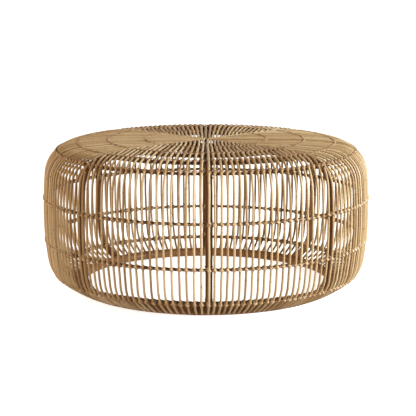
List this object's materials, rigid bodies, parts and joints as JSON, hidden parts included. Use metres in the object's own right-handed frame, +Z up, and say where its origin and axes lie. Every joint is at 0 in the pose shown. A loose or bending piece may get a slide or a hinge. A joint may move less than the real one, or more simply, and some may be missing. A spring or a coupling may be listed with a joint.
{
  "type": "round rattan drum coffee table",
  "caption": "Low round drum coffee table of bent rattan canes lashed to thin hoops over a frame of bent poles, open inside, standing on a thick base hoop.",
  "frame": {"origin": "on the floor under the middle of the table", "axes": "+Z up, -Y towards the front, +X to the right seen from the front"},
  "size_m": [0.9014, 0.9014, 0.4115],
  "materials": {
    "cane": "satin clear-coated honey rattan cane",
    "thin_hoop": "satin rattan cane, a little darker",
    "pole": "satin reddish brown rattan pole",
    "lashing": "split binding cane, satin",
    "plywood": "matt plywood",
    "screw_steel": "zinc plated"
  },
  "bodies": {
    "root": {"near_base_hoop": "thin_hoop", "lower_hoop": "thin_hoop", "middle_hoop": "thin_hoop", "shoulder_hoop": "thin_hoop", "top_outer_hoop": "thin_hoop", "top_middle_hoop": "thin_hoop", "top_inner_hoop": "thin_hoop", "front_post": "pole", "front_right_post": "pole", "right_post": "pole", "back_right_post": "pole", "back_post": "pole", "back_left_post": "pole", "left_post": "pole", "front_left_post": "pole", "base_hoop": "pole", "centre_plate": "plywood", "foot_screws": "screw_steel", "plate_screws": "screw_steel", "front_right_bay_canes": "cane", "back_right_bay_canes": "cane", "back_left_bay_canes": "cane", "front_left_bay_canes": "cane", "right_front_bay_canes": "cane", "right_back_bay_canes": "cane", "left_back_bay_canes": "cane", "left_front_bay_canes": "cane", "post_canes": "cane", "near_base_hoop_lashings": "lashing", "lower_hoop_lashings": "lashing", "middle_hoop_lashings": "lashing", "shoulder_hoop_lashings": "lashing", "top_outer_hoop_lashings": "lashing", "top_middle_hoop_lashings": "lashing", "top_inner_hoop_lashings": "lashing"}
  },
  "joints": []
}
